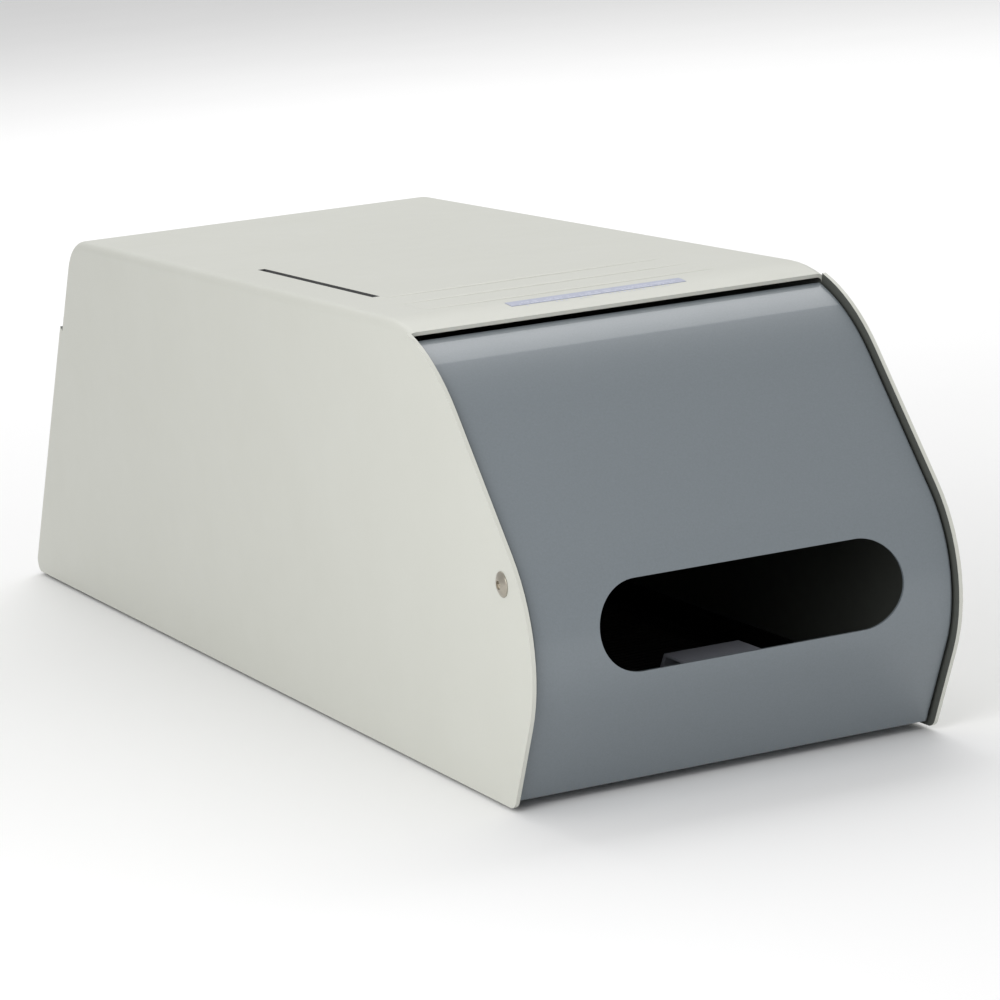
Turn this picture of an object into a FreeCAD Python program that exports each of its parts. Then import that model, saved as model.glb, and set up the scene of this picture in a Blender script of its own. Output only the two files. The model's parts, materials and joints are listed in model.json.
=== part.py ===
import FreeCAD, Part
import math
import os
import re

import Sketcher

# A bench-top book drop box: a folded cover, a flap that tips forward on two
# side screws, and the fittings inside. Millimetres. Case axes: x across,
# y back from the foot of the front edge, z up from the lower edge of the
# side walls. The finished part stands on its feet, with its origin under the
# centre of its box.

SIZES = [
    # overall case
    ("case_width", 225.0, "outside of the side walls"),
    ("case_height", 220.0, "lower edge of the walls to the top"),
    ("case_length", 741.0, "virtual rear lower corner"),
    ("cover_sheet", 2.0, "cover thickness"),
    ("overcut", 4.0, "cuts past the faces that they open"),
    ("overcut_angle", 4.0, "curved cuts past their ends"),
    ("lean_angle", 32.4, "rear edge from the vertical"),
    ("front_arc_radius", 103.0, "curve of the top towards the front"),
    ("slope_angle", 40.0, "upper front from the vertical"),
    ("nose_radius", 70.0, "round nose of the front"),
    ("nose_centre", 38.2, "centre of the nose, back"),
    ("nose_height", 78.0, "height of the nose centre"),
    ("lower_angle", 30.0, "lower front from the vertical"),
    ("toe_radius", 8.0, "front lower corner of the walls"),
    ("heel_radius", 6.0, "rear lower corner of the walls"),
    ("rear_radius", 35.0, "top into the rear"),
    ("fold_radius", 5.0, "outside radius of the long folds"),
    ("hood_depth", 16.0, "depth of the folded strip under the top"),
    ("lip_angle", 17.0, "angle on the front curve where the top ends"),
    ("rear_flange_drop", 55.0, "lower end of the top's rear flange, below the top"),
    # slot, ribs and label on the top
    ("slot_centre", -85.0, "slot across"),
    ("slot_setback", 74.0, "slot behind the top's front curve"),
    ("slot_span", 163.0, "length of the slot"),
    ("slot_gap", 4.0, "width of the slot"),
    ("rib_centre", -9.0, "ribs across"),
    ("rib_setback", 8.0, "first rib behind the top's front curve"),
    ("rib_pitch", 30.0, "rib to rib"),
    ("rib_span", 158.0, "length of a rib"),
    ("rib_breadth", 7.0, "breadth of a rib"),
    ("rib_rise", 0.7, "height of a rib"),
    ("rib_edge", 0.56, "rounding of a rib's upper edge"),
    ("label_centre", -4.0, "label across"),
    ("label_span", 94.0, "width of the label"),
    ("label_angle_low", 8.6, "front edge of the label on the curve"),
    ("label_angle_high", 4.0, "rear edge of the label on the curve"),
    ("label_sheet", 0.25, "label thickness"),
    # flap
    ("flap_sheet", 1.5, "flap thickness"),
    ("flap_recess", 4.0, "flap behind the front edge of the walls"),
    ("flap_gap", 1.2, "flap to wall at each side"),
    ("flap_edge", 1.2, "rounding of the flap's side folds"),
    ("flap_depth", 24.0, "depth of the flap's side flanges"),
    ("flap_floor", 3.0, "lower edge of the flap"),
    ("flap_top_angle", 18.0, "angle on the front curve where the flap ends"),
    ("mouth_centre", 4.0, "mouth across"),
    ("mouth_span", 159.0, "width of the mouth"),
    ("mouth_low", 61.2, "lower edge of the mouth"),
    ("mouth_rise", 43.5, "height of the mouth"),
    # pivots
    ("pivot_back", -5.7, "pivot axis"),
    ("pivot_height", 108.4, "pivot axis"),
    ("screw_radius", 3.0, "pivot screw shank"),
    ("screw_reach", 13.0, "pivot screw from the outside of the wall"),
    ("head_radius", 6.1, "pivot screw head"),
    ("head_edge", 0.5, "straight edge of the head"),
    ("head_dome", 1.9, "crown of the head"),
    ("socket_radius", 2.3, "hexagon in the head, to its corners"),
    ("socket_deep", 1.3, "hexagon in the head"),
    ("bush_wall", 1.45, "wall of the flap's bush"),
    ("bush_reach", 0.6, "bush beyond each face of the flap's flange"),
    ("running_fit", 0.05, "screw to bush, on the radius"),
    ("washer_radius", 6.0, "washer inside the flap"),
    ("washer_sheet", 1.0, "washer thickness"),
    ("washer_gap", 0.5, "bush to washer"),
    ("nut_radius", 5.77, "nut across its corners, halved"),
    ("nut_sheet", 4.0, "nut thickness"),
    # closed stops and catch
    ("stop_radius", 5.0, "rubber stop"),
    ("stop_span", 9.0, "rubber stop from the wall"),
    ("stop_gap", 0.4, "flap flange to stop"),
    ("stop_along", 22.0, "stop below the upper end of the slope"),
    ("bracket_half", 20.0, "latch bracket across, halved"),
    ("bracket_sheet", 1.5, "latch bracket thickness"),
    ("bracket_low", 26.0, "lower end of its front leg"),
    ("bracket_bend", 44.0, "upper end of its front leg"),
    ("bracket_top", 55.0, "its top plate"),
    ("bracket_back", 24.0, "rear edge of its top plate"),
    ("toe_back", 55.0, "front of its toe"),
    ("toe_span", 15.0, "length of its toe"),
    ("magnet_half", 14.0, "catch magnet across, halved"),
    ("magnet_rise", 6.0, "catch magnet height"),
    ("magnet_corner", 1.5, "corners of the magnet"),
    ("magnet_gap", 0.5, "toe to magnet"),
    # base, rear and fittings
    ("base_sheet", 1.5, "base and rear panel thickness"),
    ("base_height", 4.0, "underside of the base"),
    ("base_front", 48.0, "front edge of the base"),
    ("base_wall_front", 76.0, "front end of the base's side flanges"),
    ("base_wall", 15.0, "height of the base's side flanges"),
    ("base_end_gap", 1.0, "base to rear panel"),
    ("panel_overlap", 20.0, "rear panel under the rear flange"),
    ("notch_gap", 1.0, "rear panel's corner notches to the cover's folds"),
    ("mat_front", 110.0, "front edge of the landing mat"),
    ("mat_margin", 70.0, "rear edge of the mat to the rear of the base"),
    ("mat_side", 8.0, "mat to the base's side flanges"),
    ("mat_sheet", 4.0, "mat thickness"),
    ("mat_corner", 12.0, "corners of the mat"),
    ("tray_half", 16.0, "slip tray across, halved"),
    ("tray_drop", 56.0, "depth of the slip tray"),
    ("tray_margin", 14.0, "tray beyond each end of the slot"),
    ("tray_sheet", 1.2, "tray thickness"),
    ("foot_radius", 11.0, "rubber foot"),
    ("foot_standoff", 2.0, "foot below the walls"),
    ("foot_inset", 42.0, "foot to the outside of the wall"),
    ("sole_step", 1.0, "foot's sole, in from its side and up"),
    ("foot_margin", 43.0, "foot to the front or rear of the base"),
    ("foot_bore", 2.2, "hole through base and foot"),
    ("foot_sink", 4.6, "recess for the foot nut"),
    ("foot_screw", 2.0, "foot screw shank"),
    ("foot_head", 4.0, "foot screw head"),
    ("foot_head_rise", 2.2, "foot screw head"),
    ("rear_screw", 2.0, "rear screw shank"),
    ("rear_head", 4.0, "rear screw head"),
    ("rear_head_rise", 1.8, "rear screw head"),
    ("rear_screw_pitch", 80.0, "rear screw to rear screw"),
    ("rear_screw_tail", 4.0, "rear screw behind the panel"),
]

# Places that follow from the sizes.
PLACES = [
    ("front_arc_start", "nose_centre + front_arc_radius * cos(slope_angle * 1deg)"
     " - (nose_radius + (nose_height - case_height + front_arc_radius"
     " - front_arc_radius * sin(slope_angle * 1deg)) * sin(slope_angle * 1deg))"
     " / cos(slope_angle * 1deg)"),
    ("nose_front", "nose_centre - nose_radius"),
    ("arc_centre", "case_height - front_arc_radius"),
    ("rear_centre", "case_length - (rear_radius + (case_height - rear_radius)"
     " * sin(lean_angle * 1deg)) / cos(lean_angle * 1deg)"),
    ("heel_tangent", "heel_radius / tan((90 - lean_angle) / 2 * 1deg)"),
    ("rear_extreme", "case_length - heel_tangent + heel_radius"),
    ("case_shift", "-(rear_extreme + nose_front) / 2"),
    ("rear_flange_height", "case_height - rear_flange_drop"),
    ("slot_front", "front_arc_start + slot_setback"),
    ("rib_front", "front_arc_start + rib_setback"),
    ("inner_half", "case_width / 2 - cover_sheet"),
    ("flap_half", "inner_half - flap_gap"),
    ("flap_skin", "flap_recess + flap_sheet"),
    ("flap_back", "flap_recess + flap_depth"),
    ("panel_back", "cover_sheet + base_sheet"),
    ("base_top", "base_height + base_sheet"),
    ("base_rear", "case_length - (panel_back + base_end_gap) / cos(lean_angle * 1deg)"
     " - (base_height + base_wall) * tan(lean_angle * 1deg)"),
    ("mat_rear", "base_rear - mat_margin"),
    ("foot_front", "base_front + foot_margin"),
    ("foot_rear", "base_rear - foot_margin"),
    ("bush_radius", "screw_radius + running_fit + bush_wall"),
    ("washer_side", "flap_half - flap_sheet - bush_reach - washer_gap"),
    ("toe_height", "base_top + magnet_rise + magnet_gap"),
    ("screw_line", "rear_flange_height + panel_overlap / 2"),
]

doc = FreeCAD.newDocument("BookDropBox")

SHEET_OF = {row[0]: "Sizes" for row in SIZES}


def words(text):
    """Put the sheet's name before each alias of an expression."""
    def full(match):
        name = match.group(0)
        return f"{SHEET_OF[name]}.{name}" if name in SHEET_OF else name
    return re.sub(r"(?<![\w.])[a-z][a-z_]*\b", full, str(text))


def fill_sheet(name, rows):
    """A spreadsheet of aliased cells: name, content and note."""
    sheet = doc.addObject("Spreadsheet::Sheet", name)
    for number, (alias, content, note) in enumerate(rows, start=1):
        sheet.set(f"A{number}", alias)
        sheet.set(f"B{number}", content)
        sheet.setAlias(f"B{number}", alias)
        sheet.set(f"C{number}", note)
    doc.recompute()


fill_sheet("Sizes", [(alias, str(size), note) for alias, size, note in SIZES])
fill_sheet("Places", [(alias, "=" + words(formula), "") for alias, formula in PLACES])
SHEET_OF.update({alias: "Places" for alias, _ in PLACES})
working = doc.addObject("Spreadsheet::Sheet", "Working")

NOTCH_X = "case_width / 2 - fold_radius - notch_gap"
SLOPE = "(slope_angle * 1deg)"
LOWER = "(lower_angle * 1deg)"
LEAN = "(lean_angle * 1deg)"


def value(expression):
    """The number that an expression gives now."""
    working.set("A1", "=" + words(expression))
    working.recompute()
    result = working.get("A1")
    return float(getattr(result, "Value", result))


# Points of the case's side outline as expressions (y, z), each moved inwards
# by an offset.

def on_curve(angle, offset="0"):
    """On the top's front curve, at an angle from the vertical."""
    return (f"front_arc_start - (front_arc_radius - ({offset})) * sin(({angle}) * 1deg)",
            f"arc_centre + (front_arc_radius - ({offset})) * cos(({angle}) * 1deg)")


def slope_top(offset="0"):
    """Where the front curve meets the upper slope."""
    return on_curve("90 - slope_angle", offset)


def slope_foot(offset="0"):
    """Where the upper slope meets the nose."""
    return (f"nose_centre - (nose_radius - ({offset})) * cos{SLOPE}",
            f"nose_height + (nose_radius - ({offset})) * sin{SLOPE}")


def nose_foot(offset="0"):
    """Where the nose meets the lower front."""
    return (f"nose_centre - (nose_radius - ({offset})) * cos{LOWER}",
            f"nose_height - (nose_radius - ({offset})) * sin{LOWER}")


def lower_front(height, offset="0"):
    """On the straight lower front, at a height."""
    foot_y, foot_z = nose_foot(offset)
    return (f"{foot_y} + ({foot_z} - ({height})) * tan{LOWER}", height)


def rear_slope(height, offset="0"):
    """On the leaning rear, at a height."""
    return (f"case_length - ({offset}) / cos{LEAN} - ({height}) * tan{LEAN}", height)


def rear_arc_foot(offset="0"):
    """Where the rear curve of the top meets the leaning rear."""
    return (f"rear_centre + (rear_radius - ({offset})) * cos{LEAN}",
            f"case_height - rear_radius + (rear_radius - ({offset})) * sin{LEAN}")


def front_face(offset):
    """The front from the slope's upper end to the nose's lower end, going down."""
    return [slope_top(offset), slope_foot(offset),
            arc_to(nose_foot(offset), f"nose_radius - ({offset})", 1)]


def arc_to(point, radius, side):
    """A vertex reached by an arc; side 1 has its centre on the left of the way."""
    return (point[0], point[1], radius, side)


# Sketches, pads and pockets.

def make_body(label):
    body = doc.addObject("PartDesign::Body", label)
    body.Label = label
    body.setExpression("Placement.Base.y", words("case_shift"))
    body.setExpression("Placement.Base.z", words("foot_standoff"))
    return body


def attach(body, name, plane, offset=None):
    """A sketch on one of the body's own origin planes."""
    sketch = body.newObject("Sketcher::SketchObject", name)
    origin = [item for item in body.Origin.OriginFeatures if item.Role == plane][0]
    sketch.AttachmentSupport = [(origin, "")]
    sketch.MapMode = "FlatFace"
    if offset is not None:
        sketch.setExpression("AttachmentOffset.Base.z", words(offset))
    return sketch


def hold(sketch, kind, *places, size):
    """A dimension bound to an expression."""
    index = sketch.addConstraint(Sketcher.Constraint(kind, *places, value(size)))
    sketch.renameConstraint(index, f"{kind.lower()}_{index}")
    sketch.setExpression(f"Constraints.{kind.lower()}_{index}", words(size))


def arc_middle(start, end, radius, side):
    """The middle of the shorter arc between two points."""
    chord = end - start
    normal = FreeCAD.Vector(-chord.y, chord.x, 0).normalize()
    rise = radius - math.sqrt(max(radius ** 2 - (chord.Length / 2) ** 2, 0.0))
    return start + chord * 0.5 - normal * (rise * side)


def draw_loop(sketch, loop):
    """A closed loop of vertices, each given by two expressions."""
    spots = [FreeCAD.Vector(value(v[0]), value(v[1]), 0) for v in loop]
    first = sketch.GeometryCount
    count = len(loop)
    for number in range(count):
        following = (number + 1) % count
        start, end, target = spots[number], spots[following], loop[following]
        if len(target) == 2:
            sketch.addGeometry(Part.LineSegment(start, end))
        else:
            middle = arc_middle(start, end, value(target[2]), target[3])
            sketch.addGeometry(Part.Arc(start, middle, end))
    for number in range(count):
        following = (number + 1) % count
        here, beyond = first + number, first + following
        near = start_point(sketch, here, spots[number])
        far = start_point(sketch, beyond, spots[following])
        sketch.addConstraint(Sketcher.Constraint("Coincident", here, 3 - near, beyond, far))
        hold(sketch, "DistanceX", -1, 1, here, near, size=loop[number][0])
        hold(sketch, "DistanceY", -1, 1, here, near, size=loop[number][1])
        if len(loop[following]) > 2:
            hold(sketch, "Radius", here, size=loop[following][2])


def start_point(sketch, geometry, spot):
    """Which end of a piece of geometry lies on a spot: 1 its start, 2 its end."""
    return 1 if (sketch.getPoint(geometry, 1) - spot).Length < 1e-6 else 2


def rectangle(low_x, low_y, high_x, high_y):
    return [(low_x, low_y), (high_x, low_y), (high_x, high_y), (low_x, high_y)]


def draw_circle(sketch, centre_x, centre_y, radius):
    centre = FreeCAD.Vector(value(centre_x), value(centre_y), 0)
    index = sketch.addGeometry(Part.Circle(centre, FreeCAD.Vector(0, 0, 1), value(radius)))
    hold(sketch, "DistanceX", -1, 1, index, 3, size=centre_x)
    hold(sketch, "DistanceY", -1, 1, index, 3, size=centre_y)
    hold(sketch, "Radius", index, size=radius)


def pad(body, sketch, length, symmetric=False, reverse=False):
    feature = body.newObject("PartDesign::Pad", sketch.Name + "Pad")
    feature.Profile = sketch
    feature.setExpression("Length", words(length))
    feature.SideType = "Symmetric" if symmetric else "One side"
    feature.Reversed = reverse
    sketch.Visibility = False
    doc.recompute()
    return feature


def cut(body, sketch, length, symmetric=False, reverse=False):
    before = body.Shape.Volume
    feature = body.newObject("PartDesign::Pocket", sketch.Name + "Pocket")
    feature.Profile = sketch
    feature.setExpression("Length", words(length))
    feature.SideType = "Symmetric" if symmetric else "One side"
    feature.Reversed = reverse
    doc.recompute()
    if body.Shape.Volume > before - 1e-3:
        raise RuntimeError(f"{feature.Name} cuts nothing")
    return feature


def soften(body, base, radius, chosen):
    """Fillet the edges whose middle passes a test."""
    names = []
    for number, edge in enumerate(base.Shape.Edges, start=1):
        middle = edge.valueAt((edge.FirstParameter + edge.LastParameter) / 2)
        if chosen(edge, middle):
            names.append(f"Edge{number}")
    if not names:
        raise RuntimeError(f"{base.Name} has no edge to soften")
    feature = body.newObject("PartDesign::Fillet", base.Name + "Fillet")
    feature.Base = (base, names)
    feature.setExpression("Radius", words(radius))
    doc.recompute()
    return feature


def along(path, half_width):
    """A test for edges that run along a path, at either side of the case."""
    spots = [FreeCAD.Vector(0, value(v[0]), value(v[1])) for v in path]
    pieces = []
    for start, end, target in zip(spots, spots[1:], path[1:]):
        if len(target) == 2:
            pieces.append(Part.LineSegment(start, end).toShape())
        else:
            flat = [FreeCAD.Vector(spot.y, spot.z, 0) for spot in (start, end)]
            middle = arc_middle(*flat, value(target[2]), target[3])
            pieces.append(Part.Arc(start, FreeCAD.Vector(0, middle.x, middle.y), end).toShape())
    wire = Part.Wire(pieces)

    def chosen(edge, middle):
        flat = Part.Vertex(0, middle.y, middle.z)
        across = abs(abs(middle.x) - value(half_width)) < 1e-3
        return across and wire.distToShape(flat)[0] < 1e-3 and edge_is_long(edge)

    return chosen


def edge_is_long(edge):
    """Not one of the short edges across a sheet."""
    return edge.Length > 4 * value("cover_sheet")


def mirror(body, feature):
    """Repeat a feature on the other side of the case's middle plane."""
    copy = body.newObject("PartDesign::Mirrored", feature.Name + "Mirror")
    copy.Originals = [feature]
    plane = [item for item in body.Origin.OriginFeatures if item.Role == "YZ_Plane"][0]
    copy.MirrorPlane = (plane, [""])
    body.Tip = copy
    doc.recompute()
    return copy


# Outer cover: a folded strip for the top, then the two side walls.

def make_cover():
    body = make_body("outer_cover")
    flange = "rear_flange_height"
    outer = [on_curve("lip_angle"), arc_to(("front_arc_start", "case_height"), "front_arc_radius", -1),
             ("rear_centre", "case_height"), arc_to(rear_arc_foot(), "rear_radius", -1),
             rear_slope(flange)]
    flange_y, flange_z = rear_slope(flange)
    inner = [(f"{flange_y} - hood_depth * cos{LEAN}", f"{flange_z} - hood_depth * sin{LEAN}"),
             rear_slope("case_height - hood_depth", "hood_depth"),
             ("front_arc_start", "case_height - hood_depth"),
             arc_to(on_curve("lip_angle", "hood_depth"), "front_arc_radius - hood_depth", 1)]
    sketch = attach(body, "HoodOutline", "YZ_Plane")
    draw_loop(sketch, outer + inner)
    pad(body, sketch, "case_width", symmetric=True)

    hollow = attach(body, "HoodHollow", "YZ_Plane")
    below = "hood_depth + cover_sheet"
    beyond = "lip_angle + overcut_angle"
    low = f"{flange} - 2 * cover_sheet - hood_depth"
    under = [
        on_curve(beyond, "cover_sheet"),
        arc_to(("front_arc_start", "case_height - cover_sheet"), "front_arc_radius - cover_sheet", -1),
        ("rear_centre", "case_height - cover_sheet"),
        arc_to(rear_arc_foot("cover_sheet"), "rear_radius - cover_sheet", -1),
        rear_slope(low, "cover_sheet")]
    draw_loop(hollow, under + [
        rear_slope(low, f"2 * ({below})"),
        rear_slope(f"case_height - ({below})", f"2 * ({below})"),
        ("front_arc_start", f"case_height - ({below})"),
        arc_to(on_curve(beyond, below), f"front_arc_radius - ({below})", 1)])
    folded = cut(body, hollow, "2 * inner_half", symmetric=True)
    folded = soften(body, folded, "fold_radius - cover_sheet", along(under, "inner_half"))
    soften(body, folded, "fold_radius", along(outer, "case_width / 2"))

    wall = attach(body, "WallOutline", "YZ_Plane", "inner_half")
    toe_y, _ = lower_front("0")
    toe = "toe_radius / tan((90 + lower_angle) / 2 * 1deg)"
    walls = [on_curve("lip_angle"), arc_to(slope_top(), "front_arc_radius", 1)]
    walls += front_face("0")[1:]
    walls += [(f"{toe_y} - ({toe}) * sin{LOWER}", f"({toe}) * cos{LOWER}"),
              arc_to((f"{toe_y} + {toe}", "0"), "toe_radius", 1),
              ("case_length - heel_tangent", "0"),
              arc_to((f"case_length - heel_tangent * sin{LEAN}", f"heel_tangent * cos{LEAN}"),
                     "heel_radius", 1),
              rear_slope(flange)]
    draw_loop(wall, walls + inner)
    mirror(body, pad(body, wall, "cover_sheet"))

    holes = attach(body, "PivotHoles", "YZ_Plane")
    draw_circle(holes, "pivot_back", "pivot_height", "screw_radius")
    cut(body, holes, "2 * case_width", symmetric=True)

    slot = attach(body, "Slot", "XY_Plane", "case_height")
    draw_loop(slot, rectangle("slot_centre - slot_gap / 2", "slot_front",
                              "slot_centre + slot_gap / 2", "slot_front + slot_span"))
    cut(body, slot, "cover_sheet + overcut")

    drill_rear(body, "6 * cover_sheet")

    ribs = attach(body, "Ribs", "XY_Plane", "case_height - cover_sheet / 2")
    for number in range(3):
        middle = f"rib_front + {number} * rib_pitch"
        draw_loop(ribs, stadium("rib_centre", middle, "rib_span / 2", "rib_breadth / 2"))
    raised = pad(body, ribs, "rib_rise + cover_sheet / 2")
    crest = value("case_height + rib_rise")
    soften(body, raised, "rib_edge", lambda edge, middle: abs(middle.z - crest) < 1e-3)
    return body


def drill_rear(body, length):
    """The holes of the rear screws."""
    screws = attach(body, "RearScrewHoles", "XZ_Plane")
    tilt(screws)
    for side in (-1, 0, 1):
        draw_circle(screws, f"{side} * rear_screw_pitch", "0", "rear_screw")
    cut(body, screws, length, symmetric=True)


def tilt(sketch):
    """Lay a sketch of the XZ plane in the leaning rear, centred on its screws."""
    back, height = rear_slope("screw_line")
    sketch.AttachmentOffset = FreeCAD.Placement(
        FreeCAD.Vector(0, 0, 0), FreeCAD.Rotation(FreeCAD.Vector(1, 0, 0), value("lean_angle")))
    sketch.setExpression("AttachmentOffset.Rotation.Angle", words("lean_angle * 1deg"))
    sketch.setExpression("AttachmentOffset.Base.y", words(height))
    sketch.setExpression("AttachmentOffset.Base.z", words(f"-({back})"))


def stadium(centre_x, centre_y, half_span, half_rise):
    """A slot shape with round ends, each end as two quarter arcs."""
    left, right = f"{centre_x} - ({half_span})", f"{centre_x} + {half_span}"
    low, high = f"{centre_y} - ({half_rise})", f"{centre_y} + {half_rise}"
    near_left, near_right = f"{left} + {half_rise}", f"{right} - ({half_rise})"
    return [arc_to((near_left, low), half_rise, 1), (near_right, low),
            arc_to((right, centre_y), half_rise, 1), arc_to((near_right, high), half_rise, 1),
            (near_left, high), arc_to((left, centre_y), half_rise, 1)]


# Flap: a curved pan with side flanges that carry the bushes.

def make_flap():
    body = make_body("flap_panel")
    skin = attach(body, "FlapOutline", "YZ_Plane")
    outer = [on_curve("flap_top_angle", "flap_recess"),
             arc_to(slope_top("flap_recess"), "front_arc_radius - flap_recess", 1)]
    outer += front_face("flap_recess")[1:] + [lower_front("flap_floor", "flap_recess")]
    inner = [lower_front("flap_floor", "flap_back"), nose_foot("flap_back"),
             arc_to(slope_foot("flap_back"), "nose_radius - flap_back", -1), slope_top("flap_back"),
             arc_to(on_curve("flap_top_angle", "flap_back"), "front_arc_radius - flap_back", -1)]
    draw_loop(skin, outer + inner)
    block = pad(body, skin, "2 * flap_half", symmetric=True)

    soften(body, block, "flap_edge", along(outer, "flap_half"))

    hollow = attach(body, "FlapHollow", "YZ_Plane")
    deeper = "flap_back + overcut"
    beyond = "flap_top_angle - overcut_angle"
    inside = [on_curve(beyond, "flap_skin"),
              arc_to(slope_top("flap_skin"), "front_arc_radius - flap_skin", 1)]
    inside += front_face("flap_skin")[1:] + [lower_front("flap_floor + flap_sheet", "flap_skin")]
    inside += [lower_front("flap_floor + flap_sheet", deeper), nose_foot(deeper),
               arc_to(slope_foot(deeper), f"nose_radius - ({deeper})", -1), slope_top(deeper),
               arc_to(on_curve(beyond, deeper), f"front_arc_radius - ({deeper})", -1)]
    draw_loop(hollow, inside)
    cut(body, hollow, "2 * (flap_half - flap_sheet)", symmetric=True)

    mouth = attach(body, "Mouth", "XZ_Plane", "flap_recess - nose_front")
    draw_loop(mouth, stadium("mouth_centre", "mouth_low + mouth_rise / 2", "mouth_span / 2", "mouth_rise / 2"))
    cut(body, mouth, "flap_depth")

    bores = attach(body, "BushBores", "YZ_Plane")
    draw_circle(bores, "pivot_back", "pivot_height", "bush_radius")
    cut(body, bores, "2 * case_width", symmetric=True)
    return body


# Base, rear panel and label.

def make_base():
    body = make_body("base_pan")
    floor = attach(body, "Floor", "XY_Plane", "base_height")
    draw_loop(floor, rectangle("-inner_half", "base_front", "inner_half", "base_rear"))
    pad(body, floor, "base_sheet")
    flange = attach(body, "SideFlange", "XY_Plane", "base_height")
    draw_loop(flange, rectangle("inner_half - base_sheet", "base_wall_front", "inner_half", "base_rear"))
    mirror(body, pad(body, flange, "base_wall"))
    holes = attach(body, "FootHoles", "XY_Plane")
    for x, y in foot_places():
        draw_circle(holes, x, y, "foot_bore")
    cut(body, holes, "2 * base_height + 2 * base_sheet", symmetric=True)
    return body


def foot_places():
    across = "case_width / 2 - foot_inset"
    return [(f"{side} * ({across})", back) for back in ("foot_front", "foot_rear") for side in (-1, 1)]


def make_rear_panel():
    body = make_body("rear_panel")
    sketch = attach(body, "RearPanel", "YZ_Plane")
    high = "rear_flange_height + panel_overlap"
    draw_loop(sketch, [rear_slope("base_height", "cover_sheet"), rear_slope(high, "cover_sheet"),
                       rear_slope(high, "panel_back"), rear_slope("base_height", "panel_back")])
    pad(body, sketch, "2 * inner_half", symmetric=True)
    drill_rear(body, "6 * panel_back")

    notches = attach(body, "Notches", "XZ_Plane")
    tilt(notches)
    for inner_x, outer_x in ((f"-({NOTCH_X})", "-case_width / 2"), (NOTCH_X, "case_width / 2")):
        draw_loop(notches, rectangle(inner_x, "-panel_overlap / 2 / cos(lean_angle * 1deg) - notch_gap",
                                     outer_x, "panel_overlap"))
    cut(body, notches, "6 * panel_back", symmetric=True)
    return body


def make_label():
    body = make_body("instruction_label")
    sketch = attach(body, "Label", "YZ_Plane", "label_centre")
    draw_loop(sketch, [
        on_curve("label_angle_low"),
        arc_to(on_curve("label_angle_high"), "front_arc_radius", -1),
        on_curve("label_angle_high", "-label_sheet"),
        arc_to(on_curve("label_angle_low", "-label_sheet"), "front_arc_radius + label_sheet", 1)])
    pad(body, sketch, "label_span", symmetric=True)
    return body


def make_mat():
    body = make_body("landing_mat")
    side = "inner_half - base_sheet - mat_side"
    sketch = attach(body, "Mat", "XY_Plane", "base_top")
    draw_loop(sketch, rectangle(f"-({side})", "mat_front", side, "mat_rear"))
    block = pad(body, sketch, "mat_sheet")
    rise = value("mat_sheet")
    soften(body, block, "mat_corner",
           lambda edge, middle: abs(edge.Length - rise) < 1e-3)
    return body


def make_tray():
    """A shallow open-fronted tray that catches slips below the slot."""
    body = make_body("slip_tray")
    under = "case_height - cover_sheet"
    rear = "slot_front + slot_span + tray_margin"
    sketch = attach(body, "Tray", "XY_Plane", f"{under} - tray_drop")
    draw_loop(sketch, rectangle("slot_centre - tray_half", "slot_front - tray_margin",
                                "slot_centre + tray_half", rear))
    pad(body, sketch, "tray_drop")
    hollow = attach(body, "TrayHollow", "XY_Plane", under)
    draw_loop(hollow, rectangle("slot_centre - tray_half + tray_sheet", "slot_front - 2 * tray_margin",
                                "slot_centre + tray_half - tray_sheet", f"{rear} - tray_sheet"))
    cut(body, hollow, "tray_drop - tray_sheet")
    return body


# Latch bracket on the flap and the magnet below it.

def make_bracket():
    body = make_body("latch_bracket")
    skin_in = "flap_skin + bracket_sheet"
    riser = lower_front("bracket_bend", "flap_skin")[0]
    riser_in = lower_front("bracket_bend", skin_in)[0]
    sketch = attach(body, "Bracket", "YZ_Plane")
    draw_loop(sketch, [
        lower_front("bracket_low", "flap_skin"), lower_front("bracket_bend", "flap_skin"),
        (riser, "bracket_top"), ("bracket_back", "bracket_top"),
        ("toe_back", "toe_height + bracket_sheet"),
        ("toe_back + toe_span", "toe_height + bracket_sheet"),
        ("toe_back + toe_span", "toe_height"), ("toe_back - bracket_sheet", "toe_height"),
        ("bracket_back - bracket_sheet", "bracket_top - bracket_sheet"),
        (riser_in, "bracket_top - bracket_sheet"),
        lower_front("bracket_bend", skin_in), lower_front("bracket_low", skin_in)])
    pad(body, sketch, "2 * bracket_half", symmetric=True)
    return body


def make_magnet():
    body = make_body("catch_magnet")
    sketch = attach(body, "Magnet", "XY_Plane", "base_top")
    draw_loop(sketch, rectangle("-magnet_half", "toe_back", "magnet_half", "toe_back + toe_span"))
    block = pad(body, sketch, "magnet_rise")
    rise = value("magnet_rise")
    soften(body, block, "magnet_corner", lambda edge, middle: abs(edge.Length - rise) < 1e-3)
    return body


# Pivot hardware, once for each side.

def turned(label, side, along, profile):
    """A body revolved about the pivot; its profile runs outwards from `along`."""
    body = doc.addObject("PartDesign::Body", label)
    body.Label = label
    sketch = attach(body, label + "Profile", "XY_Plane")
    draw_loop(sketch, profile)
    feature = body.newObject("PartDesign::Revolution", label + "Turned")
    feature.Profile = sketch
    feature.ReferenceAxis = (sketch, ["H_Axis"])
    feature.Angle = 360
    place_on_pivot(body, side, along)
    doc.recompute()
    return body


def place_on_pivot(body, side, along):
    """Put a body's origin on the pivot axis with its +X pointing away from the case."""
    turn = FreeCAD.Rotation(FreeCAD.Vector(0, 0, 1), 0 if side > 0 else 180)
    body.Placement = FreeCAD.Placement(FreeCAD.Vector(0, 0, 0), turn)
    body.setExpression("Placement.Base.x", words(f"{side} * ({along})"))
    body.setExpression("Placement.Base.y", words("pivot_back + case_shift"))
    body.setExpression("Placement.Base.z", words("pivot_height + foot_standoff"))


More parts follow.
